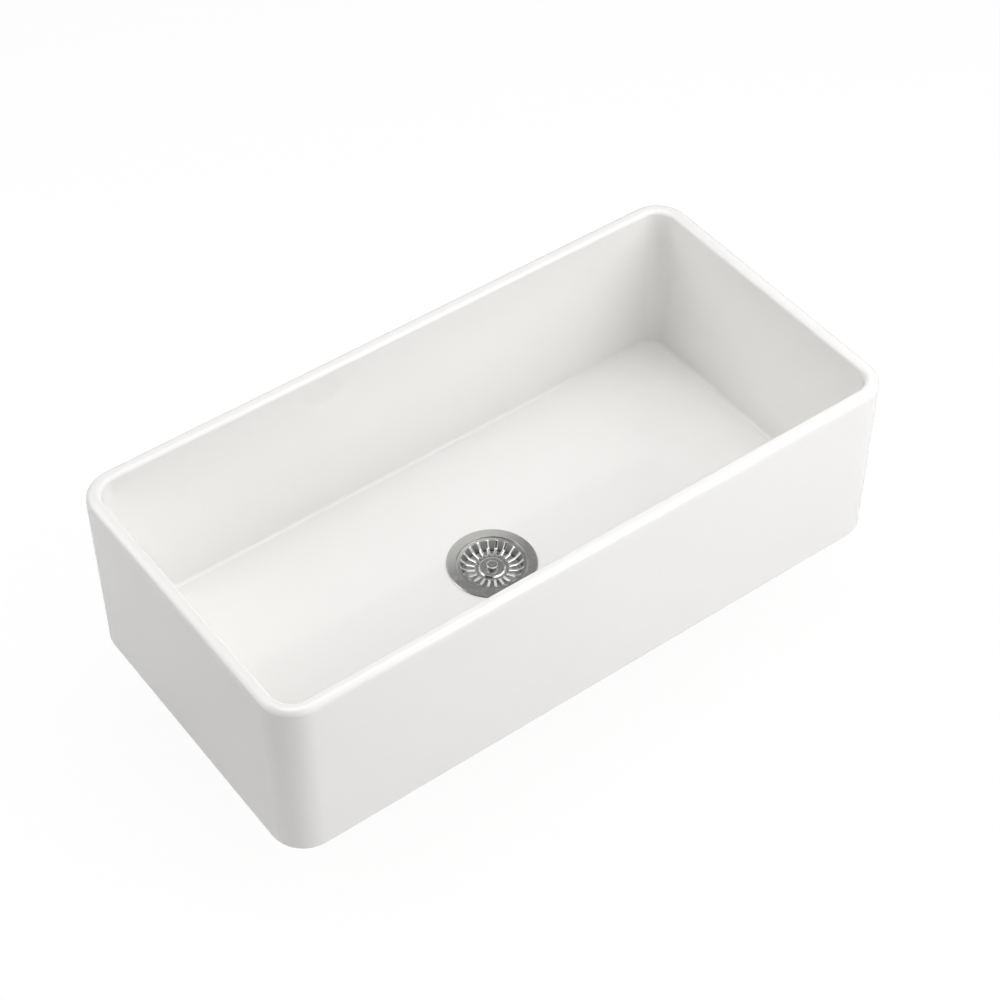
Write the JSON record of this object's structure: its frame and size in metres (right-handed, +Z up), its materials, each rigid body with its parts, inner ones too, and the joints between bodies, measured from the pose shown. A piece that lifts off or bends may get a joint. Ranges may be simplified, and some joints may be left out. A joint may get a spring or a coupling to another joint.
{
  "type": "farmhouse apron front kitchen sink",
  "caption": "Single-bowl white fireclay apron front kitchen sink with a slotted basket strainer waste, locknut, coupling nut and straight tailpiece; the basket spins and lifts out.",
  "frame": {"origin": "centre of the basin's underside, on the axis of the outlet and the waste", "axes": "+X along the length, -Y out of the apron front, +Z up out of the bowl"},
  "size_m": [0.9144, 0.4572, 0.4005],
  "materials": {
    "glaze": "glossy white glaze on fireclay",
    "satin_steel": "satin stainless",
    "polished_steel": "polished stainless",
    "chrome_plate": "bright chrome plate",
    "zinc": "cast zinc, dull",
    "brass": "turned brass",
    "black_rubber": "matt moulded rubber",
    "grey_rubber": "matt moulded rubber",
    "fibre": "pressed fibre",
    "nylon": "natural nylon"
  },
  "bodies": {
    "sink": {"basin": "glaze", "strainer_body": "satin_steel", "stem_bush": "nylon", "flange_gasket": "black_rubber", "sink_washer": "black_rubber", "friction_ring": "fibre", "locknut": "zinc", "tailpiece_washer": "nylon", "coupling_nut": "zinc", "tailpiece": "chrome_plate"},
    "detent_ring": {"stem_o_ring": "black_rubber"},
    "basket": {"basket_bowl": "polished_steel", "basket_centre_plate": "polished_steel", "basket_stem": "polished_steel", "basket_knob": "polished_steel", "stopper": "grey_rubber", "stopper_washer": "polished_steel", "stem_nut": "brass"}
  },
  "joints": [
    {"name": "basket_lift", "type": "slide", "parent": "sink", "child": "detent_ring", "axis": [0, 0, 1], "range_m": [0, 0.3]},
    {"name": "basket_spin", "type": "hinge", "parent": "detent_ring", "child": "basket", "pos_m": [0, 0, 0], "axis": [0, 0, 1], "continuous": true}
  ]
}
